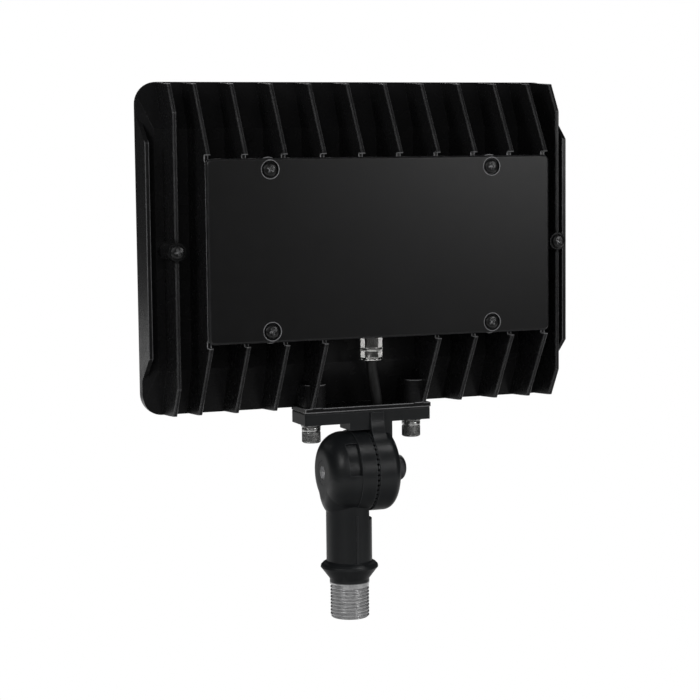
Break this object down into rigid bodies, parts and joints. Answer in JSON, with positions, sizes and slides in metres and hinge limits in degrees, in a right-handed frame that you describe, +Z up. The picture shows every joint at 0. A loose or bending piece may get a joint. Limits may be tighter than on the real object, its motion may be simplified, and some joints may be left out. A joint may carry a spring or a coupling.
{
  "type": "flood light",
  "caption": "Rectangular LED flood light with a finned rear heat sink, a driver box cover, a cable gland and a serrated swivel knuckle that ends in a threaded half-inch nipple.",
  "frame": {"origin": "on the nipple axis, at the shoulder where the thread meets the cone of the stem", "axes": "+Z up along the stem, +Y along the beam when the head stands upright, +X to the right seen from behind the light"},
  "size_m": [0.238, 0.0538, 0.2857],
  "materials": {
    "black_coat": "satin powder coat on die-cast aluminium",
    "black_screw": "black oxide",
    "nickel_brass": "bright nickel plate",
    "stainless": "bright stainless",
    "seal_rubber": "matte",
    "cable_jacket": "matte",
    "driver_case": "matte",
    "connector_body": "matte",
    "board_face": "white solder mask",
    "emitter": "phosphor",
    "reflector_white": "gloss white",
    "clear_glass": "clear tempered"
  },
  "bodies": {
    "stem": {"lower_knuckle": "black_coat", "pivot_bolt": "stainless", "pivot_nut": "stainless", "pivot_washer": "stainless"},
    "head": {"heatsink_housing": "black_coat", "driver_cover": "black_coat", "upper_knuckle": "black_coat", "bezel_frame": "black_coat", "cover_screws": "black_screw", "side_screws": "black_screw", "gland_body": "nickel_brass", "gland_nut": "nickel_brass", "gland_locknut": "nickel_brass", "bracket_bolts": "stainless", "spring_washers": "stainless", "flat_washers": "stainless", "board_screws": "stainless", "driver_screws": "stainless", "bezel_screws": "stainless", "cover_gasket": "seal_rubber", "bracket_gasket": "seal_rubber", "lens_gasket": "seal_rubber", "gland_seal": "seal_rubber", "thermal_pad": "seal_rubber", "power_cable": "cable_jacket", "led_driver": "driver_case", "lead_connectors": "connector_body", "led_board": "board_face", "led_chips": "emitter", "reflector_tray": "reflector_white", "front_lens": "clear_glass"}
  },
  "joints": [
    {"name": "head_tilt", "type": "hinge", "parent": "stem", "child": "head", "pos_m": [0.009, 0, 0.058], "axis": [1, 0, 0], "range_deg": [-90, 90]}
  ]
}
